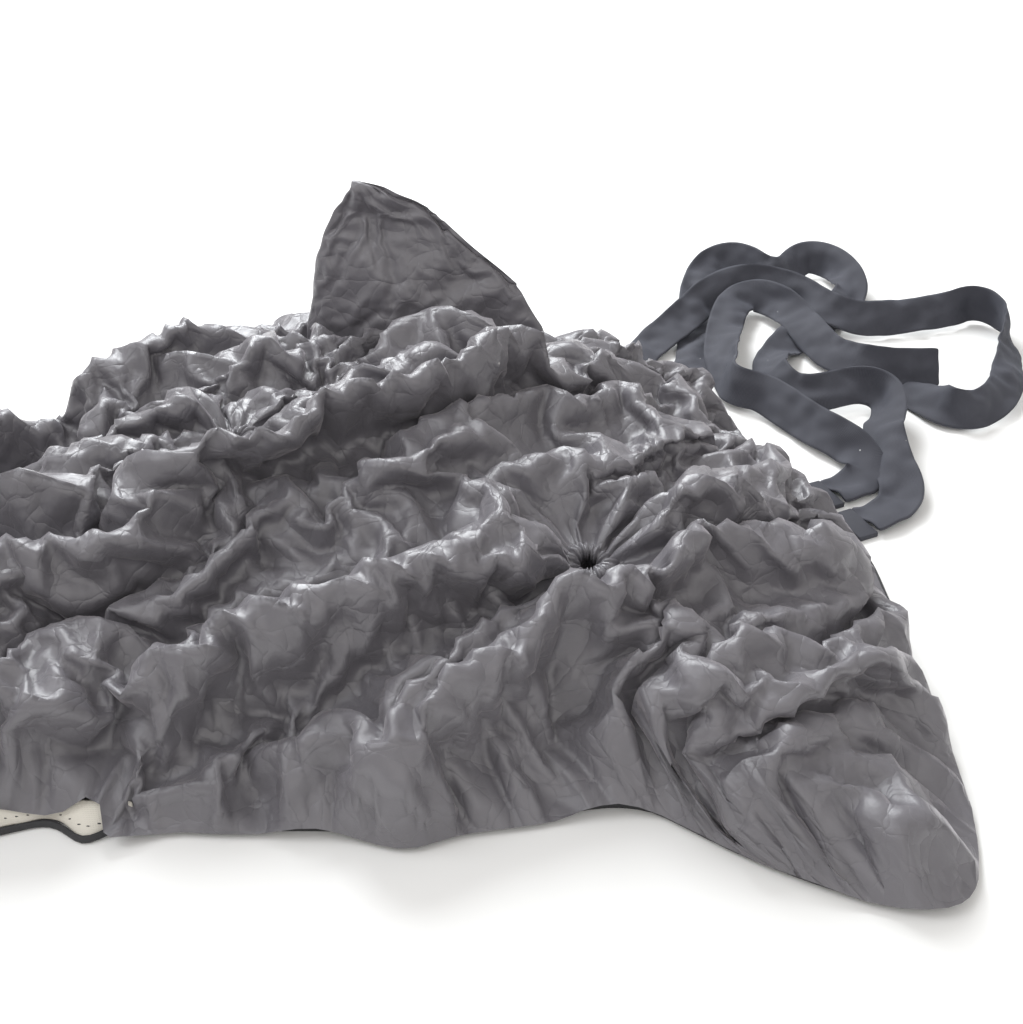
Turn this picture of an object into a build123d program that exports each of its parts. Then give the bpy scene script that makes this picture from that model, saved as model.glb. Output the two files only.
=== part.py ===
# Film changing bag lying in a heap: a double-walled cloth bag with two elastic sleeves,
# a zip in each wall at the mouth, bound edges and three sewn tapes.
# Millimetres, +Z up.  The origin is on the ground under the middle of the bag, +X is the
# side away from the mouth and +Y is the side where the tapes lie.
import math
import os

from build123d import *

os.makedirs("parts", exist_ok=True)

# ---- cloth
outer_cloth = 1.2  # doubled nylon
lining_cloth = 0.8  # rubberised inner bag
cloth_gap = 0.4  # air between the two bags
seam_gap = 0.3  # sewn pieces on curved faces
binding = 1.2  # tape folded over the raw edge
binding_height = 4.0

# ---- heap: the ground outline, and how it closes in as it rises
crown = (5, 10)  # the outline shrinks towards this point
mouth_x = -262.4  # upright face that holds the outer zip
beyond_mouth = -318  # the outline runs past the mouth and is cut there
outline = [
    (beyond_mouth, -214), (-150, -165), (-34, -171), (65, -172), (130, -155), (158, -180),
    (214, -207), (243, -205), (255, -171), (257, -123), (262, -30), (258, 14), (236, 64),
    (210, 120), (186, 160), (120, 195), (20, 207), (-70, 195), (-120, 150), (-160, 95),
    (beyond_mouth, 86),
]
skirt_height, skirt_share = 34, 0.95
shoulder_height, shoulder_share = 72, 0.76
crown_height, crown_share = 92, 0.46
narrowest = 140  # least distance from the crown point to the outline

# ---- corner of the bag that stands up out of the heap
peak_tip = (-12, 160, 135)
peak_base = (-8, 158)
peak_base_height = 20
peak_half_width, peak_half_depth = 74, 36
peak_corners = [(-1, -0.3), (-0.2, -1), (0.9, -0.6), (1, 0.4), (0.1, 1), (-0.9, 0.7)]
peak_narrowest = 24  # least distance from the middle of its base to its sides
peak_blunt = 0.06  # share of the base left at the tip

# ---- sleeves, pushed down in folds
sleeves = {"left_sleeve": (-62, 28), "right_sleeve": (112, -62)}
sleeve_radius = 52
arm_radius = 44
cuff_radius = 36
sleeve_foot = 58
sleeve_top = 120
arm_band_height = 8
cuff_height = 10
shoulder_of_sleeve = 96
casing_depth = 4.2
casing_wall = 1.0
elastic_thickness = 1.6

# ---- zips
mouth_spacing = 36  # room for the inner pull to swing behind the outer zip
zips = {"outer_zip": mouth_x, "inner_zip": mouth_x + mouth_spacing}
zip_height = 26
zip_start, zip_end = -158, 58
parting = 2.4  # the slider's wedge keeps the rows this far apart
tooth_reach, tooth_width, tooth_pitch = 1.6, 1.5, 3.0
tooth_bead = 0.8
row_thickness = 2.0
zip_tape, zip_tape_width = 0.6, 12
slot_half_height = 9
slot_end_room = 6
stop_length = 3

# ---- slider and pull
slider_length = 14
slider_plate = 1.2
slider_play = 0.3
flange = 1.0
wedge_length = 4
lug_reach, lug_width = 3.3, 1.0
pin_radius, pin_play, pin_offset = 0.8, 0.1, 2.3
eye_radius = 1.9
pull_half_width, pull_thickness, pull_length = 2.8, 1.2, 24

# ---- tapes, each drawn as the thin core that the flat tape follows
tape_core = 3.0
anchor_length, anchor_width, anchor_thickness = 12, 24, 3.0
tape_rest = 1.7  # height of a tape's middle where it lies flat


def shrunk_outline(share):
    cx, cy = crown
    return [(cx + share * (x - cx), cy + share * (y - cy)) for x, y in outline]


def lofted(levels):
    # straight-sided solid through closed outlines, given as (height, points)
    with BuildPart() as form:
        for pair in zip(levels, levels[1:]):
            for height, points in pair:
                with BuildSketch(Plane.XY.offset(height)):
                    with BuildLine():
                        Polyline(*points, close=True)
                    make_face()
            loft(ruled=True)
    return form.part


def heap_form(inset):
    # solid heap whose faces all lie at least inset inside the outer cloth's outside
    step = inset / narrowest
    body = lofted([
        (0, shrunk_outline(1 - step)),
        (skirt_height - inset, shrunk_outline(skirt_share - step)),
        (shoulder_height - inset, shrunk_outline(shoulder_share - step)),
        (crown_height - inset, shrunk_outline(crown_share - step)),
    ])
    bx, by = peak_base
    tx, ty, tz = peak_tip
    kept = 1 - 1.2 * inset / peak_narrowest
    base = [(bx + kept * peak_half_width * u, by + kept * peak_half_depth * v)
            for u, v in peak_corners]
    tip_x, tip_y = bx + kept * (tx - bx), by + kept * (ty - by)
    tip_z = peak_base_height + kept * (tz - peak_base_height)
    top = [(tip_x + peak_blunt * (x - tip_x), tip_y + peak_blunt * (y - tip_y)) for x, y in base]
    blunt_z = tip_z + peak_blunt * (peak_base_height - tip_z)
    return body + lofted([(peak_base_height, base), (blunt_z, top)])


def standing_wall(face_x, thickness, inset):
    # upright sheet across the heap at face_x
    slab = Pos(face_x, 0, 0) * Box(thickness, 900, 400, align=(Align.MIN, Align.CENTER, Align.CENTER))
    return slab & heap_form(inset)


def ground_outline(inset, cut_x):
    # the outline on the ground, cut at the mouth
    with BuildSketch(mode=Mode.PRIVATE) as sketch:
        with BuildLine():
            Polyline(*shrunk_outline(1 - inset / narrowest), close=True)
        make_face()
        with Locations((cut_x, 0)):
            Rectangle(400, 900, align=(Align.MAX, Align.CENTER), mode=Mode.SUBTRACT)
    return sketch.sketch


def save(part, name):
    part.label = name
    export_step(part, f"parts/{name}.step")


lining_inset = outer_cloth + cloth_gap
lining_mouth_x = zips["inner_zip"]
lining_floor = outer_cloth + cloth_gap
sleeve_centres = [(x, y, sleeve_foot - 30) for x, y in sleeves.values()]

# ---- outer bag
with BuildPart() as bottom_panel:
    add(ground_outline(0, mouth_x))
    extrude(amount=outer_cloth)
save(bottom_panel.part, "bottom_panel")

with BuildPart() as top_panel:
    add(heap_form(0))
    add(heap_form(outer_cloth), mode=Mode.SUBTRACT)
    split(bisect_by=Plane.YZ.offset(mouth_x), keep=Keep.TOP)
    split(bisect_by=Plane.XY.offset(outer_cloth), keep=Keep.TOP)
    with Locations(*sleeve_centres):
        Cylinder(sleeve_radius + seam_gap, 200, align=(Align.CENTER, Align.CENTER, Align.MIN),
                 mode=Mode.SUBTRACT)
save(top_panel.part, "top_panel")

with BuildPart() as edge_binding:
    with BuildSketch():
        add(ground_outline(0, mouth_x))
        offset(amount=binding, kind=Kind.INTERSECTION)
        add(ground_outline(0, mouth_x), mode=Mode.SUBTRACT)
    extrude(amount=binding_height)
save(edge_binding.part, "edge_binding")

# ---- inner bag
with BuildPart() as lining_bottom:
    with BuildSketch(Plane.XY.offset(lining_floor)):
        add(ground_outline(lining_inset + cloth_gap, lining_mouth_x))
    extrude(amount=lining_cloth)
save(lining_bottom.part, "lining_bottom")

with BuildPart() as lining_top:
    add(heap_form(lining_inset))
    add(heap_form(lining_inset + lining_cloth), mode=Mode.SUBTRACT)
    split(bisect_by=Plane.YZ.offset(lining_mouth_x), keep=Keep.TOP)
    split(bisect_by=Plane.XY.offset(lining_floor + lining_cloth), keep=Keep.TOP)
    with Locations(*sleeve_centres):
        Cylinder(sleeve_radius + seam_gap, 200, align=(Align.CENTER, Align.CENTER, Align.MIN),
                 mode=Mode.SUBTRACT)
save(lining_top.part, "lining_top")

# ---- mouth: the sheet that each zip is sewn to
mouths = {
    "mouth_panel": (mouth_x, outer_cloth, outer_cloth, outer_cloth),
    "mouth_lining": (lining_mouth_x, lining_cloth, lining_inset + lining_cloth,
                     lining_floor + lining_cloth),
}
for name, (face_x, thickness, inset, floor) in mouths.items():
    wall = standing_wall(face_x, thickness, inset)
    with BuildPart() as mouth:
        add(wall)
        split(bisect_by=Plane.XY.offset(floor), keep=Keep.TOP)
        with Locations((face_x, (zip_start + zip_end) / 2, zip_height)):
            Box(8, zip_end - zip_start + 2 * slot_end_room, 2 * slot_half_height, mode=Mode.SUBTRACT)
    save(mouth.part, name)

# ---- zips
zip_middle = (zip_start + zip_end) / 2
zip_length = zip_end - zip_start
row_inner = parting / 2
row_outer = row_inner + tooth_reach + tooth_bead
tooth_count = int(zip_length / tooth_pitch)
row_half = row_thickness / 2
plate_inner = row_half + slider_play
plate_outer = plate_inner + slider_plate
pin_reach = plate_outer + pin_offset
flange_inner = row_outer + slider_play
flange_outer = flange_inner + flange
slider_rest = zip_start + 0.5 + slider_length / 2

for name, wall_x in zips.items():
    middle_x = wall_x - zip_tape / 2  # the tape's own middle plane

    for side, word in ((1, "upper"), (-1, "lower")):
        with BuildPart() as tape:
            with BuildSketch(Plane.YZ.offset(middle_x - zip_tape / 2)):
                with Locations((zip_middle, zip_height + side * (row_outer + zip_tape_width / 2))):
                    Rectangle(zip_length + 2 * slot_end_room, zip_tape_width)
            extrude(amount=zip_tape)
        save(tape.part, f"{name}_{word}_tape")

        first_tooth = zip_middle - (tooth_count - 1) * tooth_pitch / 2
        with BuildPart() as teeth:
            with BuildSketch(Plane.YZ.offset(middle_x - row_half)):
                with Locations((zip_middle, zip_height + side * (row_outer - tooth_bead / 2))):
                    Rectangle(zip_length, tooth_bead)
                tooth_places = [(first_tooth + i * tooth_pitch,
                                 zip_height + side * (row_inner + (tooth_reach + 0.1) / 2))
                                for i in range(tooth_count)]
                with Locations(*tooth_places):
                    Rectangle(tooth_width, tooth_reach + 0.1)
            extrude(amount=row_thickness)
        save(teeth.part, f"{name}_{word}_teeth")

    with BuildPart() as stops:
        with Locations((middle_x, zip_start - stop_length / 2, zip_height)):
            Box(row_thickness, stop_length, 2 * row_outer)
        for side in (1, -1):
            with Locations((middle_x, zip_end + stop_length / 2,
                            zip_height + side * (row_inner + row_outer) / 2)):
                Box(row_thickness, stop_length, row_outer - row_inner)
    save(stops.part, f"{name}_stops")

    with BuildPart() as slider:
        for side in (1, -1):
            with BuildSketch(Plane.YZ.offset(middle_x + side * (plate_inner + slider_plate / 2)
                                             - slider_plate / 2)):
                with Locations((slider_rest, zip_height)):
                    RectangleRounded(slider_length, 2 * flange_outer, 2)
            extrude(amount=slider_plate)
            for edge in (1, -1):  # flanges that wrap the rows and let the tape out
                with Locations((middle_x + side * (plate_inner + zip_tape / 2 + slider_play) / 2,
                                slider_rest, zip_height + edge * (flange_inner + flange / 2))):
                    Box(plate_inner - zip_tape / 2 - slider_play, slider_length - 4, flange)
        with Locations((middle_x, slider_rest + slider_length / 2 - wedge_length / 2, zip_height)):
            Box(2 * plate_inner, wedge_length, parting - 2 * slider_play)
        for edge in (1, -1):
            lug_z = zip_height + edge * (pull_half_width + slider_play + lug_width / 2)
            with BuildSketch(Plane.XY.offset(lug_z - lug_width / 2)):
                with Locations((middle_x - plate_outer - pin_offset / 2, slider_rest)):
                    Rectangle(pin_offset, 2 * eye_radius)
                with Locations((middle_x - pin_reach, slider_rest)):
                    Circle(eye_radius - 0.4)
            extrude(amount=lug_width)
        with Locations((middle_x - pin_reach, slider_rest, zip_height)):
            Cylinder(pin_radius, 2 * (pull_half_width + slider_play) + 0.2)
    save(slider.part, f"{name}_slider")

    with BuildPart() as pull:
        with BuildSketch(Plane.XY.offset(zip_height - pull_half_width)):
            with Locations((middle_x - pin_reach, slider_rest)):
                Circle(eye_radius)
                Rectangle(pull_thickness, pull_length, align=(Align.CENTER, Align.MIN))
                Circle(pin_radius + pin_play, mode=Mode.SUBTRACT)
        extrude(amount=2 * pull_half_width)
        grip = pull.faces().sort_by(Axis.Y)[-1].edges().filter_by(Axis.X)
        fillet(grip, 2)
        with BuildSketch(Plane.YZ.offset(middle_x - pin_reach - pull_thickness)):
            with Locations((slider_rest + pull_length - 6, zip_height)):
                SlotOverall(7, 2.4)
        extrude(amount=2 * pull_thickness, mode=Mode.SUBTRACT)
    save(pull.part, f"{name}_pull")

# ---- sleeves
arm_low = shoulder_of_sleeve + 5
arm_high = arm_low + arm_band_height
cuff_low = sleeve_top - cuff_height
sleeve_wall = [(sleeve_radius, sleeve_foot), (sleeve_radius, shoulder_of_sleeve),
               (arm_radius, arm_low), (arm_radius, arm_high),
               (cuff_radius, cuff_low), (cuff_radius, sleeve_top)]

for name, (x, y) in sleeves.items():
    axis = Axis((x, y, 0), (0, 0, 1))
    half_plane = Plane(origin=(x, y, 0), x_dir=(1, 0, 0), z_dir=(0, -1, 0))

    cloths = {name: (0, outer_cloth), f"{name}_lining": (outer_cloth + seam_gap, lining_cloth)}
    for cloth_name, (inset, thickness) in cloths.items():
        outside = [(radius - inset, z) for radius, z in sleeve_wall]
        inside = [(radius - thickness, z) for radius, z in reversed(outside)]
        with BuildPart() as sleeve:
            with BuildSketch(half_plane):
                with BuildLine():
                    Polyline(*outside, *inside, close=True)
                make_face()
            revolve(axis=axis)
        save(sleeve.part, cloth_name)

    bands = {"arm": (arm_radius, arm_low + 0.5, arm_high - 0.5),
             "cuff": (cuff_radius, cuff_low + 0.5, sleeve_top)}
    for word, (radius, low, high) in bands.items():
        inner = radius + seam_gap
        with BuildPart() as casing:
            with BuildSketch(half_plane):
                with Locations((inner, low)):
                    Rectangle(casing_depth, high - low, align=(Align.MIN, Align.MIN))
                with Locations((inner + casing_wall, low + casing_wall)):
                    Rectangle(casing_depth - 2 * casing_wall, high - low - 2 * casing_wall,
                              align=(Align.MIN, Align.MIN), mode=Mode.SUBTRACT)
            revolve(axis=axis)
        save(casing.part, f"{name}_{word}_casing")

        with BuildPart() as elastic:
            with BuildSketch(half_plane):
                with Locations((inner + casing_depth / 2, (low + high) / 2)):
                    Rectangle(elastic_thickness, high - low - 2 * casing_wall - 2 * seam_gap)
            revolve(axis=axis)
        save(elastic.part, f"{name}_{word}_elastic")


# ---- tapes: where each is sewn to the edge, as (outline side, share of the way along it)
seams = {"strap_front_tab": (11, 0.25), "near_tie_tab": (11, 0.78),
         "strap_back_tab": (14, 0.12), "far_tie_tab": (14, 0.62)}


def seam_plane(side, share):
    # plane on the bound edge with its X pointing straight out
    (ax, ay), (bx, by) = outline[side], outline[side + 1]
    run = math.hypot(bx - ax, by - ay)
    out_x, out_y = (by - ay) / run, (ax - bx) / run
    return Plane(origin=(ax + share * (bx - ax) + binding * out_x,
                         ay + share * (by - ay) + binding * out_y, 0),
                 x_dir=(out_x, out_y, 0), z_dir=(0, 0, 1))


def off_seam(name, distance, height):
    # point straight out from a tab's outer end
    return tuple(seam_plane(*seams[name]).from_local_coords((anchor_length + distance, 0, height)))


for name, place in seams.items():
    with BuildPart() as tab:
        with BuildSketch(seam_plane(*place)):
            Rectangle(anchor_length, anchor_width, align=(Align.MIN, Align.CENTER))
        extrude(amount=anchor_thickness)
    save(tab.part, name)

routes = {
    "neck_strap": [
        off_seam("strap_front_tab", 0, tape_rest), off_seam("strap_front_tab", 18, tape_rest),
        (292, 56, 3), (289, 84, 6), (292, 112, 8), (303, 134, 11), (301, 152, 12),
        (284, 156, 11), (262, 148, 9), (246, 152, 7), (238, 170, 6), (242, 198, 4),
        (262, 230, 3), (292, 260, 3), (316, 288, 8), (318, 316, 12), (309, 339, 12),
        (294, 346, 12), (282, 331, 12), (272, 315, 12), (258, 318, 12), (251, 334, 12),
        (238, 345, 11), (221, 334, 9), (208, 302, 7), (202, 262, 4), (199, 226, 2.5),
        off_seam("strap_back_tab", 19, tape_rest), off_seam("strap_back_tab", 0, tape_rest),
    ],
    "near_tie": [
        off_seam("near_tie_tab", 0, tape_rest), off_seam("near_tie_tab", 15, tape_rest),
        (279, 77, 2), (270, 95, 4), (252, 112, 7), (239, 134, 9), (228, 150, 12), (214, 152, 12),
        (209, 168, 12), (211, 200, 10), (219, 238, 9), (229, 268, 11), (243, 281, 12),
        (258, 272, 12), (268, 246, 9), (276, 218, 5), (285, 196, 3), (303, 183, 2.5),
        (325, 180, 5), (345, 181, 7),
    ],
    "far_tie": [
        off_seam("far_tie_tab", 0, tape_rest), off_seam("far_tie_tab", 24, tape_rest),
        (192, 246, 9), (220, 284, 15), (248, 294, 17), (272, 281, 17), (288, 254, 12),
        (312, 245, 9), (344, 251, 11), (373, 260, 12), (395, 270, 12), (410, 247, 12),
        (396, 198, 12), (378, 152, 10), (354, 129, 6), (335, 128, 3), (330, 152, 2),
        (320, 170, 1.7),
    ],
}

for name, points in routes.items():
    radii = []
    for a, b, c in zip(points, points[1:], points[2:]):
        before, after = Vector(b) - Vector(a), Vector(c) - Vector(b)
        half_turn = math.radians(before.get_angle(after)) / 2
        radii.append(0.45 * min(before.length, after.length) / math.tan(half_turn))
    with BuildPart() as core:
        with BuildLine() as line:
            FilletPolyline(*points, radius=radii)
        start = line.wires()[0]
        with BuildSketch(Plane(origin=start @ 0, z_dir=start % 0)):
            Circle(tape_core / 2)
        sweep()
    length = start.length
    section = math.pi * tape_core**2 / 4
    print(name, "length", round(length), "volume share", round(core.part.volume / section / length, 4),
          "radii", [round(r) for r in radii])
    save(core.part, name)
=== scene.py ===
import math

import bmesh
import bpy
import numpy as np
from mathutils import Matrix, Vector, noise
from mathutils.bvhtree import BVHTree


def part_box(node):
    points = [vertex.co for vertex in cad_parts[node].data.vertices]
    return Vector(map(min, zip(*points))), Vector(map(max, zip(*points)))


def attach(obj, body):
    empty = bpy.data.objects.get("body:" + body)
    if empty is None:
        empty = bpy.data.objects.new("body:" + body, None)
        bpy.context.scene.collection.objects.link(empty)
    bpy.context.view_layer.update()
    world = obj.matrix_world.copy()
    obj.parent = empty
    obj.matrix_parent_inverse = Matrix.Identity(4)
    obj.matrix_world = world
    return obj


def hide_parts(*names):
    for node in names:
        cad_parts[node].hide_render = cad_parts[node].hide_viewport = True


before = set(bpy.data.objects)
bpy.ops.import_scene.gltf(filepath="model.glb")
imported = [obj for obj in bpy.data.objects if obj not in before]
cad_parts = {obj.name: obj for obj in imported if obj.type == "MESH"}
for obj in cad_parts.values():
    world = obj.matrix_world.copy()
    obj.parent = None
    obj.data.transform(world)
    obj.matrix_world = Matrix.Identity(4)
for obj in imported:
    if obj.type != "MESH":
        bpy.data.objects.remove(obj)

scene = bpy.context.scene
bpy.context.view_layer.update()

camera = {
    "place": (0.0775, -0.480, 0.380),
    "tilt": 54.0,  # degrees up from straight down
    "lens": 42.2,
}

studio = {
    "floorSize": 6.0,
    "floorColour": (0.86, 0.86, 0.85, 1),
    "skyColour": (1.0, 0.982, 0.962, 1),
    "skyStrength": 0.70,
    "backLight": {"place": (-0.35, 1.25, 1.15), "aim": (0.0, 0.05, 0.04), "size": 0.8, "power": 37,
                  "colour": (0.95, 0.98, 1.0)},
    "frontLight": {"place": (0.5, -1.5, 1.5), "aim": (0.0, 0.0, 0.03), "size": 1.6, "power": 8,
                   "colour": (1.0, 0.98, 0.96)},
    "topLight": {"place": (-0.9, -0.2, 1.3), "aim": (0.0, 0.0, 0.05), "size": 0.8, "power": 7,
                 "colour": (0.95, 0.97, 1.0)},
}

heap = {
    "crown": (0.005, 0.010),  # the outline closes in on this point as the heap rises
    "crownHeight": 0.065,
    "frontFullness": (1.8, 0.85),
    "mouthFullness": (3.6, 0.45),  # the same toward the mouth, where the zip holds the wall up
    "fullness": (2.3, 0.72),  # how square the side of the heap stands
    "mouthX": -0.2624,
    "outline": [
        (-0.318, -0.214), (-0.150, -0.165), (-0.034, -0.171), (0.065, -0.172), (0.130, -0.155),
        (0.158, -0.180), (0.214, -0.207), (0.243, -0.205), (0.255, -0.171), (0.257, -0.123),
        (0.262, -0.030), (0.258, 0.014), (0.236, 0.064), (0.210, 0.120), (0.186, 0.160),
        (0.120, 0.195), (0.020, 0.207), (-0.070, 0.195), (-0.120, 0.150), (-0.160, 0.095),
        (-0.318, 0.086),
    ],
    "dips": [  # places where the heap sinks: middle, reach, and the share of height lost
        {"at": (-0.178, 0.045), "reach": (0.030, 0.085), "loss": 0.85},
        {"at": (-0.150, 0.130), "reach": (0.030, 0.040), "loss": 0.45},
        {"at": (-0.188, 0.098), "reach": (0.032, 0.030), "loss": 0.75},
        {"at": (0.222, 0.060), "reach": (0.050, 0.060), "loss": 0.55},
        {"at": (0.060, 0.165), "reach": (0.100, 0.035), "loss": 0.45},
        {"at": (-0.128, 0.040), "reach": (0.020, 0.024), "loss": 0.30},
    ],
    "folds": [  # the few big ones, each a rise along a line from one end to the other
        {"from": (-0.175, -0.050), "to": (0.075, 0.045), "bend": -0.025,
         "width": 0.016, "steep": 0.4, "rise": 0.020},
        {"from": (-0.150, -0.165), "to": (0.200, -0.020), "bend": -0.010,
         "width": 0.020, "steep": 0.45, "rise": 0.020},
        {"from": (0.040, -0.160), "to": (0.235, -0.050), "bend": 0.012,
         "width": 0.016, "steep": 0.5, "rise": 0.016},
        {"from": (-0.100, 0.090), "to": (0.090, 0.110), "bend": 0.006,
         "width": 0.014, "steep": 0.6, "rise": 0.008},
        {"from": (-0.215, 0.040), "to": (-0.110, 0.110), "bend": 0.0,
         "width": 0.020, "steep": 0.6, "rise": 0.018},
    ],
}

cloth = {
    "cell": 0.0074,  # first mesh, before it is cut finer
    "foldTurn": 38.0,  # degrees from +X that the long folds run
    "along": 1.10,  # how much longer than the heap the sheet is along the folds,
    "across": 1.66,  # across them,
    "upward": 1.30,  # and in height, so that the steep sides have cloth to spare
    "lowest": 0.0042,  # height at which the cloth stays clear of the lining
    "hold": 0.012,  # the inner bag's bulk lies this far under the cloth
    "seeds": ((0.006, 30), (0.003, 90)),  # unevenness to start from: height and how fine
    "finerSeeds": ((0.0020, 42), (0.0006, 120)),
    "mass": 0.05, "stretch": 40, "drag": 2,
    "clearance": 0.001, "grip": 1, "selfGrip": 5,
    "stages": [
        {"name": "gather", "frames": 34, "bending": 0.7, "shear": 15, "excess": 0.0, "gravity": 0.1,
         "gap": 0.003, "pull": 30, "follow": 0.20, "smooth": 0.0},
        {"name": "crumple", "frames": 14, "bending": 0.03, "shear": 12, "excess": 0.09, "gravity": 0.2,
         "gap": 0.002, "pull": 20, "follow": 0.06, "smooth": 0.2},
        {"name": "fine", "frames": 10, "bending": 0.001, "shear": 15, "excess": 0.10, "gravity": 0.2,
         "gap": 0.0010, "pull": 10, "follow": 0.06, "smooth": 0.15},
    ],
}

sleeves = {
    "left": {"place": (-0.062, 0.028), "opening": 0.025, "gathered": 0.009, "reach": 0.085, "sunk": 0.012},
    "right": {"place": (0.112, -0.062), "opening": 0.025, "gathered": 0.009, "reach": 0.080, "sunk": 0.012},
}


def placeCamera():
    lens = bpy.data.cameras.new("camera")
    lens.sensor_width = 36
    lens.lens = camera["lens"]
    holder = bpy.data.objects.new("camera", lens)
    scene.collection.objects.link(holder)
    holder.location = camera["place"]
    holder.rotation_euler = (math.radians(camera["tilt"]), 0, 0)
    scene.camera = holder


placeCamera()
print("camera placed")


def newMaterial(name):
    mat = bpy.data.materials.new(name)
    mat.use_nodes = True
    shader = mat.node_tree.nodes["Principled BSDF"]
    return mat, mat.node_tree, shader


def addNode(tree, kind, **values):
    node = tree.nodes.new(kind)
    for key, value in values.items():
        if key in node.inputs:
            node.inputs[key].default_value = value
        else:
            setattr(node, key, value)
    return node


def feed(tree, socket, value):
    # a number or colour is set on the socket, and an output is linked to it
    if isinstance(value, (int, float, tuple)):
        socket.default_value = value
    elif value is not None:
        tree.links.new(value, socket)


def mathNode(tree, operation, a, b=None, c=None, clamp=False):
    node = addNode(tree, "ShaderNodeMath", operation=operation, use_clamp=clamp)
    for socket, value in zip(node.inputs, (a, b, c)):
        feed(tree, socket, value)
    return node.outputs[0]


def mixColour(tree, factor, a, b):
    node = addNode(tree, "ShaderNodeMix", data_type="RGBA")
    for socket, value in ((node.inputs[0], factor), (node.inputs[6], a), (node.inputs[7], b)):
        feed(tree, socket, value)
    return node.outputs[2]


def noiseTexture(tree, where, scale, detail):
    node = addNode(tree, "ShaderNodeTexNoise", Detail=detail)
    node.inputs["Scale"].default_value = scale
    tree.links.new(where, node.inputs["Vector"])
    return node


def setSockets(node, values):
    for label, value in values.items():
        node.inputs[label].default_value = value


def startGroup(name, inputs, outputs):
    group = bpy.data.node_groups.new(name, "ShaderNodeTree")
    for label, kind, value in inputs:
        socket = group.interface.new_socket(label, in_out="INPUT", socket_type=kind)
        if value is not None:
            socket.default_value = value
    for label, kind in outputs:
        group.interface.new_socket(label, in_out="OUTPUT", socket_type=kind)
    return group, group.nodes.new("NodeGroupInput"), group.nodes.new("NodeGroupOutput")


def weaveGroup():
    # plain weave: two crossed sets of threads, over and under each other
    group, inside, out = startGroup(
        "plainWeave",
        [("Vector", "NodeSocketVector", None), ("Threads", "NodeSocketFloat", 2500.0)],
        [("Height", "NodeSocketFloat"), ("Warp", "NodeSocketFloat")])
    split = group.nodes.new("ShaderNodeSeparateXYZ")
    group.links.new(inside.outputs["Vector"], split.inputs[0])
    waves = []
    for axis in (0, 1):
        scaled = mathNode(group, "MULTIPLY", split.outputs[axis], inside.outputs["Threads"])
        waves.append(mathNode(group, "SINE", scaled))
    both = mathNode(group, "MULTIPLY", waves[0], waves[1])
    warp = mathNode(group, "MULTIPLY_ADD", both, 0.5, 0.5)
    ribs = mathNode(group, "ABSOLUTE", waves[0])
    picks = mathNode(group, "ABSOLUTE", waves[1])
    blend = group.nodes.new("ShaderNodeMix")
    group.links.new(warp, blend.inputs[0])
    group.links.new(ribs, blend.inputs[2])
    group.links.new(picks, blend.inputs[3])
    group.links.new(blend.outputs[0], out.inputs["Height"])
    group.links.new(warp, out.inputs["Warp"])
    return group


def lintGroup():
    # scattered pale specks of fluff
    group, inside, out = startGroup(
        "lint",
        [("Vector", "NodeSocketVector", None), ("Scale", "NodeSocketFloat", 60.0),
         ("Amount", "NodeSocketFloat", 0.06)],
        [("Mask", "NodeSocketFloat")])
    cells = addNode(group, "ShaderNodeTexVoronoi", feature="F1")
    group.links.new(inside.outputs["Vector"], cells.inputs["Vector"])
    group.links.new(inside.outputs["Scale"], cells.inputs["Scale"])
    near = mathNode(group, "LESS_THAN", cells.outputs["Distance"], inside.outputs["Amount"])
    pick = group.nodes.new("ShaderNodeSeparateColor")
    group.links.new(cells.outputs["Color"], pick.inputs[0])
    some = mathNode(group, "GREATER_THAN", pick.outputs[0], 0.93)
    group.links.new(mathNode(group, "MULTIPLY", near, some), out.inputs["Mask"])
    return group


def creaseGroup():
    # fine sharp creases of crumpled cloth: cell edges at two sizes
    group, inside, out = startGroup(
        "fineCreases",
        [("Vector", "NodeSocketVector", None), ("Scale", "NodeSocketFloat", 50.0)],
        [("Height", "NodeSocketFloat")])
    waver = noiseTexture(group, inside.outputs["Vector"], 22.0, 3.0)
    shift = addNode(group, "ShaderNodeVectorMath", operation="SCALE")
    shift.inputs["Scale"].default_value = 0.035
    group.links.new(waver.outputs["Color"], shift.inputs[0])
    moved = group.nodes.new("ShaderNodeVectorMath")
    group.links.new(inside.outputs["Vector"], moved.inputs[0])
    group.links.new(shift.outputs[0], moved.inputs[1])
    total = None
    for factor, share, kind in ((1.0, 0.55, "SMOOTH_F1"), (2.3, 0.2, "SMOOTH_F1"),
                                (0.62, 0.5, "DISTANCE_TO_EDGE"), (1.5, 0.3, "DISTANCE_TO_EDGE")):
        cells = addNode(group, "ShaderNodeTexVoronoi", feature=kind)
        group.links.new(moved.outputs[0], cells.inputs["Vector"])
        scale = mathNode(group, "MULTIPLY", inside.outputs["Scale"], factor)
        group.links.new(scale, cells.inputs["Scale"])
        height = cells.outputs["Distance"]
        if kind == "SMOOTH_F1":
            cells.inputs["Smoothness"].default_value = 0.15
        else:
            height = mathNode(group, "POWER", mathNode(group, "MULTIPLY", height, 3.0, clamp=True), 0.5)
        part = mathNode(group, "MULTIPLY", height, share)
        total = part if total is None else mathNode(group, "ADD", total, part)
    group.links.new(total, out.inputs["Height"])
    return group


plainWeave = weaveGroup()
lint = lintGroup()
fineCreases = creaseGroup()


def useGroup(tree, group, vector, **values):
    node = tree.nodes.new("ShaderNodeGroup")
    node.node_tree = group
    tree.links.new(vector, node.inputs["Vector"])
    setSockets(node, values)
    return node


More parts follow.
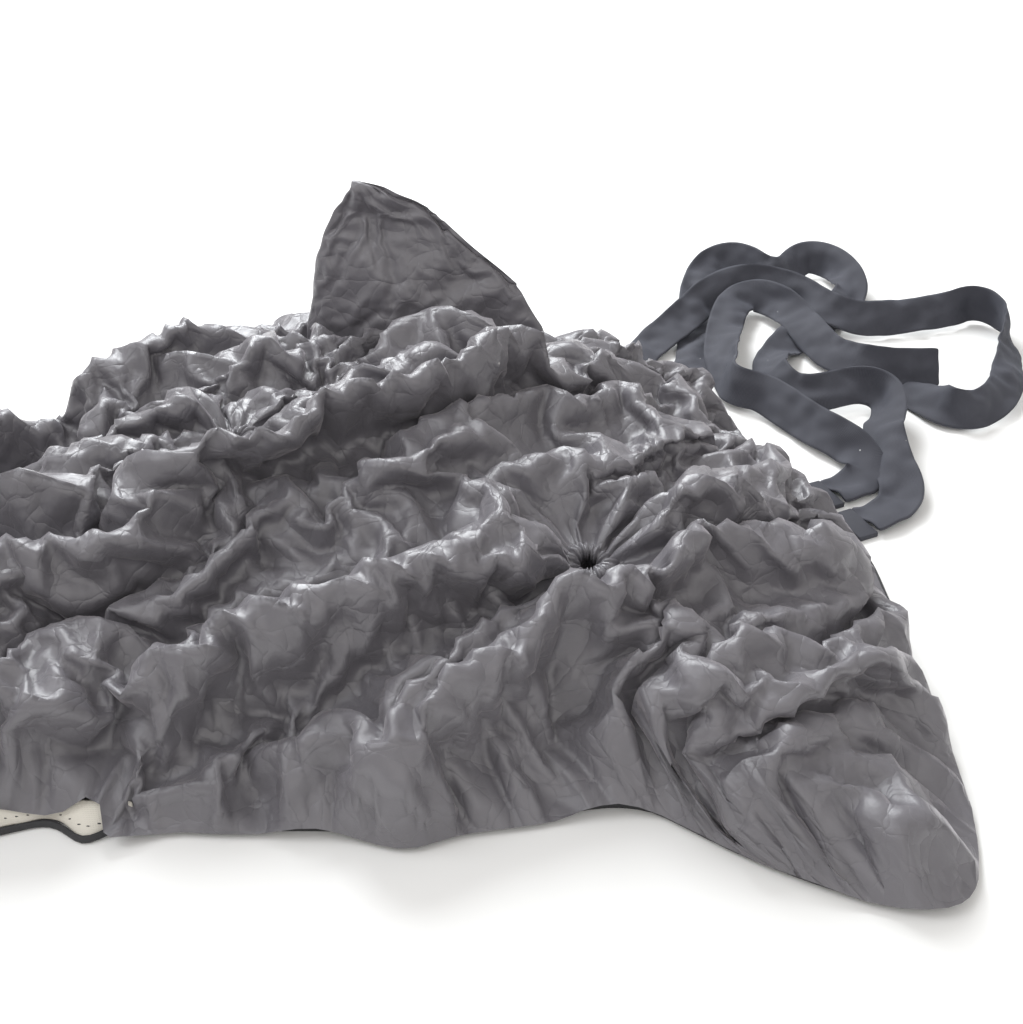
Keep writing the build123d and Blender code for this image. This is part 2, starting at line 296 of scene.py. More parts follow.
def bumpChain(tree, heights):
    # heights is a list of (socket, strength, distance); each bump rides on the one before
    normal = None
    for height, strength, distance in heights:
        bump = addNode(tree, "ShaderNodeBump", Strength=strength, Distance=distance)
        tree.links.new(height, bump.inputs["Height"])
        if normal is not None:
            tree.links.new(normal, bump.inputs["Normal"])
        normal = bump.outputs[0]
    return normal


def nylonMaterial(name, dark, light, roughness, lintAmount):
    mat, tree, shader = newMaterial(name)
    where = tree.nodes.new("ShaderNodeTexCoord").outputs["Object"]
    patches = noiseTexture(tree, where, 9.0, 4.0)
    weave = useGroup(tree, plainWeave, where, Threads=9000.0)
    base = mixColour(tree, patches.outputs["Fac"], dark, light)
    fluff = useGroup(tree, lint, where, Scale=42.0, Amount=lintAmount)
    colour = mixColour(tree, fluff.outputs["Mask"], base, (0.75, 0.74, 0.72, 1))
    tree.links.new(colour, shader.inputs["Base Color"])
    tree.links.new(mathNode(tree, "MULTIPLY_ADD", patches.outputs["Fac"], 0.12, roughness),
                   shader.inputs["Roughness"])
    creases = useGroup(tree, fineCreases, where, Scale=48.0)
    small = noiseTexture(tree, where, 240.0, 5.0)
    normal = bumpChain(tree, [
        (creases.outputs["Height"], 0.50, 0.0028),
        (small.outputs["Fac"], 0.25, 0.0006),
        (weave.outputs["Height"], 0.25, 0.0002),
    ])
    tree.links.new(normal, shader.inputs["Normal"])
    setSockets(shader, {"Sheen Weight": 0.35, "Sheen Roughness": 0.35,
                        "Sheen Tint": (0.85, 0.80, 0.84, 1), "Specular IOR Level": 0.75})
    return mat


def webbingMaterial():
    mat, tree, shader = newMaterial("darkWebbing")
    uv = tree.nodes.new("ShaderNodeUVMap").outputs[0]
    ribs = useGroup(tree, plainWeave, uv, Threads=4400.0)
    where = tree.nodes.new("ShaderNodeTexCoord").outputs["Object"]
    wear = noiseTexture(tree, where, 55.0, 6.0)
    base = mixColour(tree, wear.outputs["Fac"], (0.032, 0.033, 0.044, 1), (0.072, 0.074, 0.093, 1))
    # painted shade: where the rib height is low, between the threads, the colour is darker
    threads = mixColour(tree, ribs.outputs["Height"], (0.026, 0.027, 0.036, 1), base)
    fluff = useGroup(tree, lint, where, Scale=120.0, Amount=0.05)
    tree.links.new(mixColour(tree, fluff.outputs["Mask"], threads, (0.6, 0.6, 0.6, 1)),
                   shader.inputs["Base Color"])
    setSockets(shader, {"Roughness": 0.78, "Sheen Weight": 0.08, "Sheen Tint": (0.6, 0.65, 0.8, 1)})
    tree.links.new(bumpChain(tree, [(ribs.outputs["Height"], 0.5, 0.0004),
                                    (wear.outputs["Fac"], 0.3, 0.0008)]), shader.inputs["Normal"])
    return mat


def plainClothMaterial(name, dark, light, roughness, threads=5000.0):
    mat, tree, shader = newMaterial(name)
    where = tree.nodes.new("ShaderNodeTexCoord").outputs["Object"]
    stains = noiseTexture(tree, where, 30.0, 5.0)
    tree.links.new(mixColour(tree, stains.outputs["Fac"], dark, light), shader.inputs["Base Color"])
    weave = useGroup(tree, plainWeave, where, Threads=threads)
    tree.links.new(bumpChain(tree, [(weave.outputs["Height"], 0.4, 0.0003),
                                    (stains.outputs["Fac"], 0.3, 0.0010)]), shader.inputs["Normal"])
    shader.inputs["Roughness"].default_value = roughness
    return mat


def metalMaterial():
    mat, tree, shader = newMaterial("zipMetal")
    where = tree.nodes.new("ShaderNodeTexCoord").outputs["Object"]
    scuffs = noiseTexture(tree, where, 420.0, 8.0)
    tree.links.new(mixColour(tree, scuffs.outputs["Fac"], (0.06, 0.06, 0.065, 1), (0.14, 0.14, 0.15, 1)),
                   shader.inputs["Base Color"])
    tree.links.new(mathNode(tree, "MULTIPLY_ADD", scuffs.outputs["Fac"], 0.3, 0.22),
                   shader.inputs["Roughness"])
    tree.links.new(bumpChain(tree, [(scuffs.outputs["Fac"], 0.2, 0.0002)]), shader.inputs["Normal"])
    shader.inputs["Metallic"].default_value = 1.0
    return mat


def floorMaterial():
    mat, _, shader = newMaterial("paperFloor")
    setSockets(shader, {"Base Color": studio["floorColour"], "Roughness": 0.9})
    return mat


materials = {
    "nylon": nylonMaterial("satinNylon", (0.108, 0.104, 0.116, 1), (0.158, 0.151, 0.166, 1), 0.28, 0.035),
    "webbing": webbingMaterial(),
    "lining": plainClothMaterial("creamLining", (0.60, 0.56, 0.48, 1), (0.82, 0.79, 0.72, 1), 0.75),
    "binding": plainClothMaterial("blackBinding", (0.018, 0.018, 0.020, 1), (0.040, 0.040, 0.043, 1), 0.7),
    "tab": plainClothMaterial("tabCloth", (0.028, 0.029, 0.038, 1), (0.062, 0.064, 0.080, 1), 0.75),
    "metal": metalMaterial(),
    "thread": plainClothMaterial("blackThread", (0.010, 0.010, 0.012, 1), (0.03, 0.03, 0.034, 1), 0.6),
}
print("materials made")


def meshObject(name, bm, material=None, smooth=True):
    mesh = bpy.data.meshes.new(name)
    bm.to_mesh(mesh)
    bm.free()
    piece = bpy.data.objects.new(name, mesh)
    scene.collection.objects.link(piece)
    if material is not None:
        mesh.materials.append(material)
    for face in mesh.polygons:
        face.use_smooth = smooth
    return piece


def addLight(name, values):
    lamp = bpy.data.lights.new(name, "AREA")
    lamp.energy = values["power"]
    lamp.size = values["size"]
    lamp.color = values["colour"]
    holder = bpy.data.objects.new(name, lamp)
    scene.collection.objects.link(holder)
    holder.location = values["place"]
    aim = Vector(values["aim"]) - Vector(values["place"])
    holder.rotation_euler = aim.to_track_quat("-Z", "Y").to_euler()


def makeStudio():
    bm = bmesh.new()
    bmesh.ops.create_grid(bm, x_segments=1, y_segments=1, size=studio["floorSize"] / 2)
    floor = meshObject("floor", bm, floorMaterial(), smooth=False)
    sky = bpy.data.worlds.new("sky")
    scene.world = sky
    sky.use_nodes = True
    back = sky.node_tree.nodes["Background"]
    back.inputs[0].default_value = studio["skyColour"]
    back.inputs[1].default_value = studio["skyStrength"]
    for name in ("backLight", "topLight", "frontLight"):
        addLight(name, studio[name])
    scene.view_settings.view_transform = "Standard"


makeStudio()
print("studio made")


tape = {"width": 0.024, "thickness": 0.0011, "across": 8, "step": 0.0028, "crumple": 0.0034}

# each point is x, y, z and the lean of the tape there: 0 lies flat, 90 stands on its edge
tapes = {
    "neckStrapTape": {
        "node": "neck_strap", "farEnd": "object",
        "route": [
            (0.2646, 0.0318, 0.0030, 5), (0.2811, 0.0391, 0.0030, 5), (0.292, 0.056, 0.006, 10),
            (0.289, 0.084, 0.010, 25), (0.292, 0.112, 0.012, 25), (0.303, 0.134, 0.013, 40),
            (0.301, 0.152, 0.014, 60), (0.284, 0.156, 0.014, 45), (0.262, 0.148, 0.012, 45),
            (0.246, 0.152, 0.011, 45), (0.238, 0.170, 0.011, 60), (0.242, 0.198, 0.008, 20),
            (0.262, 0.230, 0.004, -20), (0.292, 0.260, 0.004, -20), (0.316, 0.288, 0.010, -30),
            (0.318, 0.316, 0.013, 30), (0.309, 0.339, 0.013, 60), (0.294, 0.346, 0.013, 50),
            (0.282, 0.331, 0.013, 45), (0.272, 0.315, 0.013, 50), (0.258, 0.318, 0.013, 60),
            (0.251, 0.334, 0.013, 70), (0.238, 0.345, 0.013, 50), (0.221, 0.334, 0.012, 40),
            (0.208, 0.302, 0.008, 20), (0.202, 0.262, 0.004, 5), (0.199, 0.226, 0.003, 5),
            (0.1932, 0.1927, 0.0030, 5), (0.1843, 0.1759, 0.0030, 5),
        ],
    },
    "nearTieTape": {
        "node": "near_tie", "farEnd": "bare",
        "route": [
            (0.2529, 0.0583, 0.0030, 5), (0.2666, 0.0643, 0.0030, 5), (0.279, 0.077, 0.006, -20),
            (0.270, 0.095, 0.010, 40), (0.252, 0.112, 0.012, 50), (0.239, 0.134, 0.012, 50),
            (0.228, 0.150, 0.013, 45), (0.214, 0.152, 0.014, 60), (0.209, 0.168, 0.013, 70),
            (0.211, 0.200, 0.012, 30), (0.219, 0.238, 0.012, 0), (0.229, 0.268, 0.014, -20),
            (0.243, 0.281, 0.014, -45), (0.258, 0.272, 0.014, -60), (0.268, 0.246, 0.015, -20),
            (0.276, 0.218, 0.011, -30), (0.285, 0.196, 0.010, -50), (0.303, 0.183, 0.010, -55),
            (0.325, 0.180, 0.010, -55), (0.345, 0.181, 0.010, -55),
        ],
    },
    "farTieTape": {
        "node": "far_tie", "farEnd": "bare",
        "route": [
            (0.1513, 0.1934, 0.0030, 5), (0.1626, 0.2146, 0.006, 0), (0.192, 0.246, 0.012, -30),
            (0.220, 0.284, 0.018, -45), (0.248, 0.294, 0.019, -60), (0.272, 0.281, 0.018, -50),
            (0.288, 0.254, 0.017, -30), (0.312, 0.245, 0.012, -50), (0.344, 0.251, 0.012, -45),
            (0.373, 0.260, 0.012, -50), (0.395, 0.270, 0.013, -80), (0.410, 0.247, 0.013, -100),
            (0.396, 0.198, 0.013, -140), (0.378, 0.152, 0.012, -150), (0.354, 0.129, 0.011, -130),
            (0.335, 0.128, 0.010, -110), (0.330, 0.152, 0.006, -160), (0.320, 0.170, 0.003, -175),
        ],
    },
}


def routeLine(name, route):
    # smooth line through the route; the leans are not set on the curve here
    curve = bpy.data.curves.new(name + "Route", "CURVE")
    curve.dimensions = "3D"
    curve.resolution_u = 10
    spline = curve.splines.new("NURBS")
    spline.points.add(len(route) - 1)
    for point, (x, y, z, lean) in zip(spline.points, route):
        point.co = (x, y, z, 1)
    spline.order_u = 3
    spline.use_endpoint_u = True
    holder = bpy.data.objects.new(name + "Route", curve)
    scene.collection.objects.link(holder)
    bpy.context.view_layer.update()
    mesh = bpy.data.meshes.new_from_object(holder.evaluated_get(bpy.context.evaluated_depsgraph_get()))
    line = np.array([v.co[:] for v in mesh.vertices])
    bpy.data.objects.remove(holder)
    bpy.data.meshes.remove(mesh)
    return line


def evenly(line, step):
    lengths = np.r_[0, np.cumsum(np.linalg.norm(np.diff(line, axis=0), axis=1))]
    count = max(2, int(round(lengths[-1] / step)))
    at = np.linspace(0, lengths[-1], count + 1)
    return np.column_stack([np.interp(at, lengths, line[:, k]) for k in range(3)]), at


def leansAlong(route, line):
    # the lean at each point of the line, from the nearest way along the route
    corners = np.array([p[:3] for p in route])
    leans = np.array([p[3] for p in route], float)
    marks = [0]
    for corner in corners[1:-1]:
        ahead = line[marks[-1]:marks[-1] + 40]
        marks.append(marks[-1] + int(np.argmin(np.linalg.norm(ahead - corner, axis=1))))
    marks.append(len(line) - 1)
    marks = np.maximum.accumulate(np.array(marks) + np.arange(len(marks)) * 1e-6)
    return np.interp(np.arange(len(line)), marks, leans)


def makeTape(name, values):
    line, at = evenly(routeLine(name, values["route"]), tape["step"])
    leans = np.radians(leansAlong(values["route"], line))
    for _ in range(4):  # no sudden twist
        leans[1:-1] = (leans[:-2] + 2 * leans[1:-1] + leans[2:]) / 4
    ahead = np.gradient(line, axis=0)
    ahead /= np.linalg.norm(ahead, axis=1)[:, None]
    half = tape["width"] / 2
    bm = bmesh.new()
    bmesh.ops.create_grid(bm, x_segments=len(line) - 1, y_segments=tape["across"], size=0.5)
    uv = bm.loops.layers.uv.new("UVMap")
    for v in bm.verts:
        i, t = round((v.co.x + 0.5) * (len(line) - 1)), 2 * v.co.y
        way, lean = ahead[i], leans[i]
        for loop in v.link_loops:
            loop[uv].uv = (at[i], (t + 1) * half)
        side = np.cross(way, (0, 0, 1.0))
        side /= np.linalg.norm(side)
        up = np.cross(side, way)
        width = side * math.cos(lean) + up * math.sin(lean)
        face = np.cross(width, way)
        middle = line[i].copy()
        middle[2] = max(middle[2], half * abs(math.sin(lean)) + 2 * tape["thickness"])
        curl = 0.0014 * (t * t - 0.5) * math.sin(at[i] * 55 + len(name))
        crumple = (tape["crumple"] * noise.noise(Vector((at[i] * 40, t * 0.9, len(name))))
                   + 0.5 * tape["crumple"] * noise.noise(Vector((at[i] * 110, t * 1.5, 7))))
        place = middle + width * half * t * (1 - 0.03 * abs(math.sin(at[i] * 31))) + face * (curl + crumple)
        place[2] = max(place[2], tape["thickness"] * 0.8)
        v.co = place
    piece = meshObject(name, bm, materials["webbing"])
    finer = piece.modifiers.new("smooth", "SUBSURF")
    finer.levels = finer.render_levels = 1
    solid = piece.modifiers.new("thickness", "SOLIDIFY")
    solid.thickness = tape["thickness"]
    solid.offset = 0
    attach(piece, "bag")
    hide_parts(values["node"])
    print(name, "length", round(float(at[-1]), 3))
    return piece


for name, values in tapes.items():
    makeTape(name, values)
print("tapes made")


def roundedOutline(times=2):
    points = np.array(heap["outline"])
    for _ in range(times):
        after = np.roll(points, -1, axis=0)
        points = np.stack([0.75 * points + 0.25 * after, 0.25 * points + 0.75 * after], 1).reshape(-1, 2)
    return points


def outlineReach():
    points = roundedOutline() - np.array(heap["crown"])
    turn = np.arctan2(points[:, 1], points[:, 0])
    order = np.argsort(turn)
    turn, reach = turn[order], np.hypot(points[:, 0], points[:, 1])[order]
    full = 2 * math.pi
    return np.concatenate([turn - full, turn, turn + full]), np.tile(reach, 3)


turns, reaches = outlineReach()


def outlineShare(x, y):
    # 0 at the crown, 1 on the outline
    dx, dy = x - heap["crown"][0], y - heap["crown"][1]
    return np.hypot(dx, dy) / np.interp(np.arctan2(dy, dx), turns, reaches)


def heapHeight(x, y):
    share = np.clip(outlineShare(x, y), 0, 1)
    toMouth = np.clip((-0.11 - x) / 0.13, 0, 1)
    squareness, roundness = heap["fullness"]
    squareAtMouth, roundAtMouth = heap["mouthFullness"]
    toFront = np.clip((-0.03 - y) / 0.06, 0, 1) * np.clip((0.16 - x) / 0.05, 0, 1) * (1 - toMouth)
    squareness = squareness + (heap["frontFullness"][0] - squareness) * toFront
    roundness = roundness + (heap["frontFullness"][1] - roundness) * toFront
    squareness = squareness + (squareAtMouth - squareness) * toMouth
    roundness = roundness + (roundAtMouth - roundness) * toMouth
    body = heap["crownHeight"] * (1 - share ** squareness) ** roundness
    for dip in heap["dips"]:
        (cx, cy), (rx, ry) = dip["at"], dip["reach"]
        body = body * (1 - dip["loss"] * np.exp(-((x - cx) / rx) ** 2 - ((y - cy) / ry) ** 2))
    return np.where(share < 1, body, 0)


def sleevePull(x, y, drawn):
    # distance kept from each sleeve, drawn in toward it where its elastic gathers the cloth
    for sleeve in sleeves.values():
        cx, cy = sleeve["place"]
        dx, dy = x - cx, y - cy
        far = np.hypot(dx, dy)
        start, reach = sleeve["opening"], sleeve["reach"]
        share = (far - start) / (reach - start)
        near = sleeve["gathered"] + share * (reach - sleeve["gathered"])
        ratio = np.where(far < reach, near / np.maximum(far, 1e-6), 1) if drawn else 1
        x, y = cx + dx * ratio, cy + dy * ratio
    return x, y


def gridOverHeap(cell, holes=True):
    # flat grid cut to the outline and the sleeve holes, its edges pulled onto them
    low, high = np.array(heap["outline"]).min(0), np.array(heap["outline"]).max(0)
    size = high - low
    bm = bmesh.new()
    bmesh.ops.create_grid(bm, x_segments=int(size[0] / cell), y_segments=int(size[1] / cell), size=0.5)
    bmesh.ops.scale(bm, vec=(size[0], size[1], 1), verts=bm.verts)
    bmesh.ops.translate(bm, vec=((low[0] + high[0]) / 2, (low[1] + high[1]) / 2, 0), verts=bm.verts)
    outside = [v for v in bm.verts if outlineShare(v.co.x, v.co.y) > 1 or v.co.x < heap["mouthX"]]
    bmesh.ops.delete(bm, geom=outside, context="VERTS")
    for v in [v for v in bm.verts if v.is_boundary]:
        share = float(outlineShare(v.co.x, v.co.y))
        if v.co.x < heap["mouthX"] + 1.1 * cell and share < 0.97:
            v.co.x = heap["mouthX"]
            continue
        v.co.x = max(heap["mouthX"], heap["crown"][0] + (v.co.x - heap["crown"][0]) / share)
        v.co.y = heap["crown"][1] + (v.co.y - heap["crown"][1]) / share
    for sleeve in sleeves.values() if holes else ():
        place, start = Vector(sleeve["place"]), sleeve["opening"]
        inside = [v for v in bm.verts if (v.co.xy - place).length < start]
        bmesh.ops.delete(bm, geom=inside, context="VERTS")
        for v in bm.verts:
            away = v.co.xy - place
            if v.is_boundary and away.length < start + 2 * cell:
                away.length = start
                v.co.xy = place + away
    bm.verts.index_update()
    return bm


def bulkUnderCloth():
    # what the cloth is gathered over: the inner bag's bulk, and the ground around it
    bm = bmesh.new()
    bmesh.ops.create_grid(bm, x_segments=110, y_segments=92, size=0.5)
    bmesh.ops.scale(bm, vec=(0.78, 0.64, 1), verts=bm.verts)
    for v in bm.verts:
        v.co.z = max(float(heapHeight(v.co.x, v.co.y)) - cloth["hold"], 0)
    bulk = meshObject("bulk", bm)
    bulk.modifiers.new("collision", "COLLISION")
    bulk.collision.thickness_outer = cloth["clearance"]
    bulk.collision.cloth_friction = cloth["grip"]
    return bulk


def simulate(piece, stage, pins):
    # pinned points stay put, and the rest follow their own places loosely and buckle between them
    group = piece.vertex_groups.new(name="held")
    free = sorted(set(range(len(piece.data.vertices))) - set(pins))
    group.add(free, stage["follow"], "REPLACE")
    group.add(pins, 1.0, "REPLACE")
    modifier = piece.modifiers.new("Cloth", "CLOTH")
    values = modifier.settings
    values.quality = 6
    values.mass = cloth["mass"]
    values.air_damping = cloth["drag"]
    values.tension_stiffness = values.compression_stiffness = cloth["stretch"]
    values.shear_stiffness = stage["shear"]
    values.bending_stiffness = stage["bending"]
    values.vertex_group_mass = "held"
    values.pin_stiffness = stage["pull"]
    values.shrink_min = -stage["excess"]
    values.effector_weights.gravity = stage["gravity"]
    touch = modifier.collision_settings
    touch.use_collision = True
    touch.distance_min = cloth["clearance"]
    touch.friction = cloth["grip"]
    touch.use_self_collision = True
    touch.self_distance_min = stage["gap"]
    touch.self_friction = cloth["selfGrip"]
    frames = stage["frames"]
    modifier.point_cache.frame_start = 1
    modifier.point_cache.frame_end = frames + 1
    scene.frame_start, scene.frame_end = 1, frames + 1
    for step in range(1, frames + 1):
        scene.frame_set(step)
    seen = piece.evaluated_get(bpy.context.evaluated_depsgraph_get())
    places = np.zeros(len(seen.data.vertices) * 3)
    seen.data.vertices.foreach_get("co", places)
    piece.modifiers.clear()
    piece.vertex_groups.clear()
    if piece.data.shape_keys:
        piece.shape_key_clear()
    piece.data.vertices.foreach_set("co", places)
    piece.data.update()
    scene.frame_set(1)
    area = sum(face.area for face in piece.data.polygons)
    print(stage["name"], len(places) // 3, "points, top", round(places[2::3].max(), 4),
          "area", round(area, 4))


def uneven(place, seeds):
    return sum(height * noise.noise(place * fine) for height, fine in seeds)


def cutFiner(piece, smooth):
    bm = bmesh.new()
    bm.from_mesh(piece.data)
    bmesh.ops.subdivide_edges(bm, edges=bm.edges[:], cuts=1, use_grid_fill=True)
    inner = [v for v in bm.verts if not v.is_boundary]
    bmesh.ops.smooth_vert(bm, verts=inner, factor=smooth, use_axis_x=True, use_axis_y=True,
                          use_axis_z=True)
    bm.normal_update()
    for v in inner:  # uneven enough to buckle
        v.co += v.normal * uneven(v.co, cloth["finerSeeds"])
    bm.verts.index_update()
    pins = [v.index for v in bm.verts if v.is_boundary]
    bm.to_mesh(piece.data)
    bm.free()
    return pins


def foldShape(x, y):
    rise = 0
    for fold in heap["folds"]:
        (ax, ay), (bx, by) = fold["from"], fold["to"]
        length = math.hypot(bx - ax, by - ay)
        wx, wy = (bx - ax) / length, (by - ay) / length
        along = (x - ax) * wx + (y - ay) * wy
        bend = fold["bend"] * (1 - (2 * np.clip(along / length, 0, 1) - 1) ** 2)
        aside = (y - ay) * wx - (x - ax) * wy - bend
        beyond = np.maximum(np.maximum(-along, along - length), 0)
        steep = np.where(aside > 0, fold["width"], fold["width"] * fold["steep"])
        rise = rise + fold["rise"] * np.exp(-np.abs(aside / steep) ** 1.4 - (beyond / 0.03) ** 2)
    return rise


rim = {
    "scallop": 0.0045,  # height of the scallops that the front edge hangs in
    "clear": 0.009,  # how far it stands clear of the lining that shows, and is drawn in over it
    "drawn": 0.020,
    "gaps": [(-0.158, 0.040), (-0.089, 0.010)],  # where the lining shows: middle and reach
    "spill": 0.022,  # share that the edge spills past the bottom cloth, and more where folds land
    "spills": [(-0.076, 0.012, 0.045), (0.035, 0.016, 0.035)],
}


def atFront(y):
    return np.clip((-0.09 - y) / 0.03, 0, 1)


def overHem(x):
    return sum(np.exp(-((x - middle) / reach) ** 2) for middle, reach in rim["gaps"])


def rimLift(x, y):
    scallop = np.maximum(np.sin(x * 62 + 1.0) * 0.6 + np.sin(x * 103 + 2.2) * 0.5, 0)
    return atFront(y) * (rim["scallop"] * scallop + rim["clear"] * overHem(x))


def rimSpread(x, y):
    spill = rim["spill"]
    for middle, reach, more in rim["spills"]:
        spill = spill + more * np.exp(-((x - middle) / reach) ** 2)
    front = atFront(y) * np.clip((x + 0.12) / 0.03, 0, 1)
    return front * spill * (1 - np.clip(overHem(x), 0, 1)) - rim["drawn"] * atFront(y) * overHem(x)


def makeHeapCloth():
    bm = gridOverHeap(cloth["cell"])
    pins = [v.index for v in bm.verts if v.is_boundary]
    started = np.array([v.co[:] for v in bm.verts])
    x, y = sleevePull(started[:, 0], started[:, 1], True)
    edge = np.clip((1 - outlineShare(x, y)) * 6, 0, 1)
    z = heapHeight(x, y) + 0.003
    rise = foldShape(x, y) * edge
    for sleeve in sleeves.values():
        far = np.hypot(x - sleeve["place"][0], y - sleeve["place"][1])
        z = z - sleeve["sunk"] * np.exp(-(far / 0.030) ** 2)
        rise = rise * np.clip((far - 0.014) / 0.030, 0, 1)
    z = z + rise + rimLift(x, y) * (1 - edge)
    out = 1 + rimSpread(x, y) * (1 - edge)
    x = np.maximum(heap["crown"][0] + (x - heap["crown"][0]) * out, heap["mouthX"])
    y = heap["crown"][1] + (y - heap["crown"][1]) * out
    gathered = np.column_stack([x, y, z])
    for v, place in zip(bm.verts, gathered):
        v.co = place
        if v.index not in pins:
            v.co.z += uneven(v.co, cloth["seeds"])
    piece = meshObject("outerCloth", bm, materials["nylon"])
    turn = math.radians(cloth["foldTurn"])
    way = np.array((math.cos(turn), math.sin(turn)))
    over = np.array((-way[1], way[0]))
    flat = started[:, :2] - heap["crown"]
    spread = (np.outer(flat @ way * cloth["along"], way) + np.outer(flat @ over * cloth["across"], over)
              + heap["crown"])
    rough = np.array([v.co.z for v in piece.data.vertices]) * cloth["upward"]
    height = np.maximum(rough, heapHeight(spread[:, 0], spread[:, 1]) - cloth["hold"] + 0.002)
    piece.data.vertices.foreach_set("co", np.column_stack([spread, height]).ravel())
    piece.shape_key_add(name="Basis")
    key = piece.shape_key_add(name="gathered")
    key.data.foreach_set("co", gathered.ravel())
    first, *later = cloth["stages"]
    for value, when in ((0, 1), (1, 1 + first["frames"] * 2 // 3)):
        key.value = value
        key.keyframe_insert("value", frame=when)
    bulk = bulkUnderCloth()
    simulate(piece, first, pins)
    for stage in later:
        pins = cutFiner(piece, stage["smooth"])
        simulate(piece, stage, pins)
    bpy.data.objects.remove(bulk)
    for i in set(range(len(piece.data.vertices))) - set(pins):
        place = piece.data.vertices[i].co
        place.z = max(place.z, cloth["lowest"])
    return piece


outerCloth = makeHeapCloth()
print("cloth gathered")


def finishCloth(piece, nodes, smooth=1, thickness=0):
    if thickness:
        wall = piece.modifiers.new("thickness", "SOLIDIFY")
        wall.thickness = thickness
        wall.offset = 0
    if smooth:
        finer = piece.modifiers.new("smooth", "SUBSURF")
        finer.levels = finer.render_levels = smooth
    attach(piece, "bag")
    if nodes:
        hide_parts(*nodes)
    print(piece.name, "finished")
    return piece


corner = {
    # sides of the standing corner in its own upright plane: height, then x
    "left": [(0.020, -0.050), (0.050, -0.044), (0.075, -0.038), (0.093, -0.034), (0.110, -0.028),
             (0.127, -0.020), (0.138, -0.012)],
    "right": [(0.020, 0.104), (0.050, 0.098), (0.062, 0.090), (0.076, 0.083), (0.086, 0.072),
              (0.100, 0.055), (0.121, 0.033), (0.133, 0.012), (0.138, -0.010)],
    "foot": 0.020, "tall": 0.118,
    "away": 0.160,
    "bulge": 0.020,
    "lean": 0.10,  # how far it leans back for its height
    "across": 56, "high": 28,  # cells
    "stage": {"name": "corner", "frames": 14, "bending": 0.50, "shear": 15, "excess": 0.03, "gravity": 0.1,
              "gap": 0.002, "pull": 20, "follow": 0.15, "smooth": 0.0},
    "fineStage": {"name": "corner fine", "frames": 8, "bending": 0.06, "shear": 15, "excess": 0.02,
                  "gravity": 0.1, "gap": 0.0012, "pull": 10, "follow": 0.1, "smooth": 0.3},
}


def sideAt(side, z):
    heights, places = zip(*side)
    return float(np.interp(z, heights, places))


def makeCorner():
    # one cloth folded over at the tip: front and back walls that meet along both sides
    bm = bmesh.new()
    bmesh.ops.create_grid(bm, x_segments=corner["across"], y_segments=corner["high"], size=0.5)
    held = bm.verts.layers.int.new("held")
    for v in bm.verts:
        u, t = (v.co.x + 0.5) * 2, v.co.y + 0.5
        z = corner["foot"] + corner["tall"] * t ** 0.92
        left, right = sideAt(corner["left"], z), sideAt(corner["right"], z)
        share = u if u <= 1 else 2 - u
        x = left + (right - left) * share
        fold = 0.22 + 0.25 * (1 - t)  # the fold line that runs down from the tip
        profile = min(share / fold, (1 - share) / (1 - fold))
        depth = corner["bulge"] * (1 - t) ** 0.6 * profile ** 0.8
        y = corner["away"] + corner["lean"] * (z - 0.07) + (-depth if u <= 1 else 0.6 * depth)
        v.co = (x, y, z)
        if min(share, 1 - share) < 0.02 or t > 0.985 or t < 0.02:
            v[held] = 1
    bmesh.ops.remove_doubles(bm, verts=bm.verts, dist=0.0022)
    bmesh.ops.recalc_face_normals(bm, faces=bm.faces)
    bm.verts.index_update()
    pins = [v.index for v in bm.verts if v[held]]
    for v in bm.verts:
        if not v[held]:
            v.co.y += 0.003 * noise.noise(v.co * 40)
    piece = meshObject("standingCorner", bm, materials["nylon"])
    simulate(piece, corner["stage"], pins)
    cutFiner(piece, corner["fineStage"]["smooth"])
    finer = [i for i, v in enumerate(piece.data.vertices)
             if v.co.z > 0.134 or v.co.z < 0.024
             or min(v.co.x - sideAt(corner["left"], v.co.z),
                    sideAt(corner["right"], v.co.z) - v.co.x) < 0.0015]
    simulate(piece, corner["fineStage"], finer)
    return piece


def makeBottom(edgePieces):
    bm = gridOverHeap(0.009, False)
    for v in bm.verts:
        v.co.z = 0.0008 + 0.0006 * (1 + noise.noise(v.co * 25))
    piece = meshObject("bottomCloth", bm, materials["nylon"])
    finishCloth(piece, ["bottom_panel"], 0)


hem = {
    "from": -0.250, "to": -0.072, "low": 0.0022, "high": 0.0095, "stitch": 0.0042,
    # where the strip fans out from under the cloth: middle, reach, how far
    "flares": [(-0.158, 0.034, 0.013), (-0.089, 0.009, 0.010)],
}


def hemFlare(x):
    return sum(out * math.exp(-((x - middle) / reach) ** 2) for middle, reach, out in hem["flares"])


binding = {"height": 0.0034, "width": 0.0014, "wave": 0.0010}


